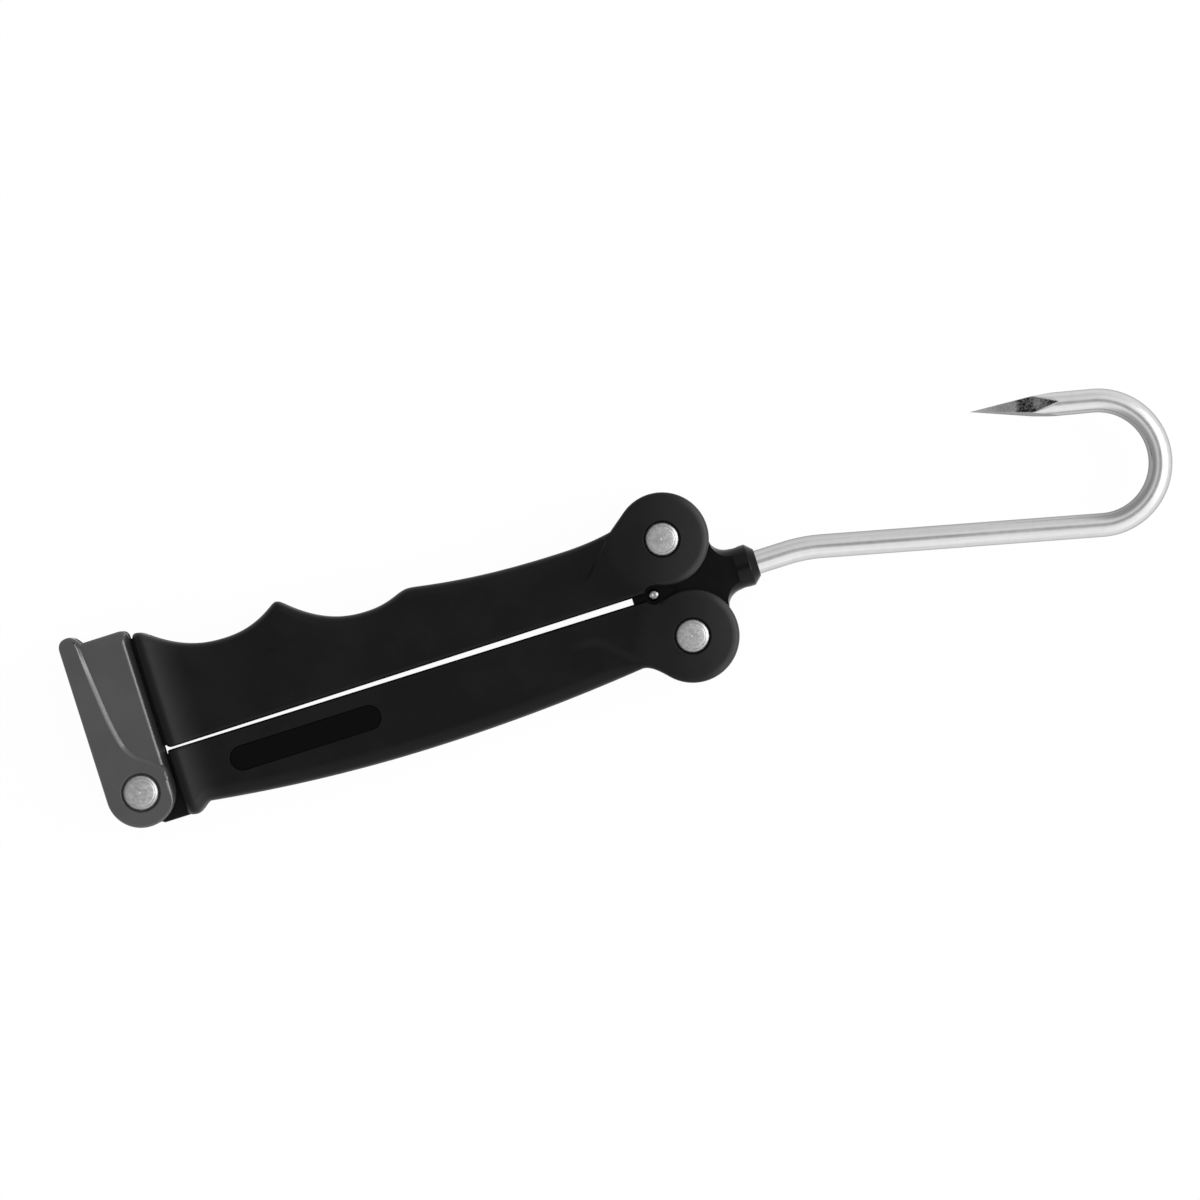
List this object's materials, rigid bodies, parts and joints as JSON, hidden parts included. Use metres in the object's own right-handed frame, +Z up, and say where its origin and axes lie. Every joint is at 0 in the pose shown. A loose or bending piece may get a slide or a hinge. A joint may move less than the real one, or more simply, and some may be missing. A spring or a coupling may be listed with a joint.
{
  "type": "folding fishing gaff",
  "caption": "Folding fishing gaff: a bent wire hook with a ground point in a hub, scalloped handle halves that fold round it, and a swinging latch at the butt.",
  "frame": {"origin": "middle of the box of the opened gaff, on the plane that it lies on", "axes": "+X along the handle towards the hook, +Y across it towards the finger scallops and the hook's point, +Z up from the side it lies on"},
  "size_m": [0.2156, 0.045, 0.0148],
  "materials": {
    "hook_steel": "bright polished stainless wire",
    "pin_steel": "satin, turned heads",
    "hub_black": "satin black moulding",
    "grip_black": "soft satin black moulding",
    "latch_grey": "satin grey moulding",
    "label_black": "glossy black inlay, left bare",
    "bearing_brass": "plain bearing metal"
  },
  "bodies": {
    "hub_and_hook": {"gaff_hook": "hook_steel", "hub": "hub_black", "hook_cross_pin": "pin_steel", "stop_pin": "pin_steel", "upper_bushing": "bearing_brass", "lower_bushing": "bearing_brass", "upper_washer_front": "bearing_brass", "upper_washer_back": "bearing_brass", "lower_washer_front": "bearing_brass", "lower_washer_back": "bearing_brass"},
    "upper_half": {"upper_handle": "grip_black", "upper_pivot_rivet": "pin_steel", "upper_rivet_sleeve": "pin_steel"},
    "lower_half": {"lower_handle": "grip_black", "lower_pivot_rivet": "pin_steel", "lower_rivet_sleeve": "pin_steel", "label_plate": "label_black", "latch_bushing": "bearing_brass", "latch_washer_front": "bearing_brass", "latch_washer_back": "bearing_brass"},
    "butt_latch": {"latch": "latch_grey", "latch_rivet": "pin_steel", "latch_rivet_sleeve": "pin_steel"}
  },
  "joints": [
    {"name": "upper_half_hinge", "type": "hinge", "parent": "hub_and_hook", "child": "upper_half", "pos_m": [0.009, 0.00602, 0.0074], "axis": [0, 0, 1], "range_deg": [-180, 0]},
    {"name": "lower_half_hinge", "type": "hinge", "parent": "hub_and_hook", "child": "lower_half", "pos_m": [0.009, -0.01348, 0.0074], "axis": [0, 0, 1], "range_deg": [0, 180]},
    {"name": "latch_hinge", "type": "hinge", "parent": "lower_half", "child": "butt_latch", "pos_m": [-0.10106, -0.01013, 0.0074], "axis": [0, 0, 1], "range_deg": [0, 180]}
  ]
}
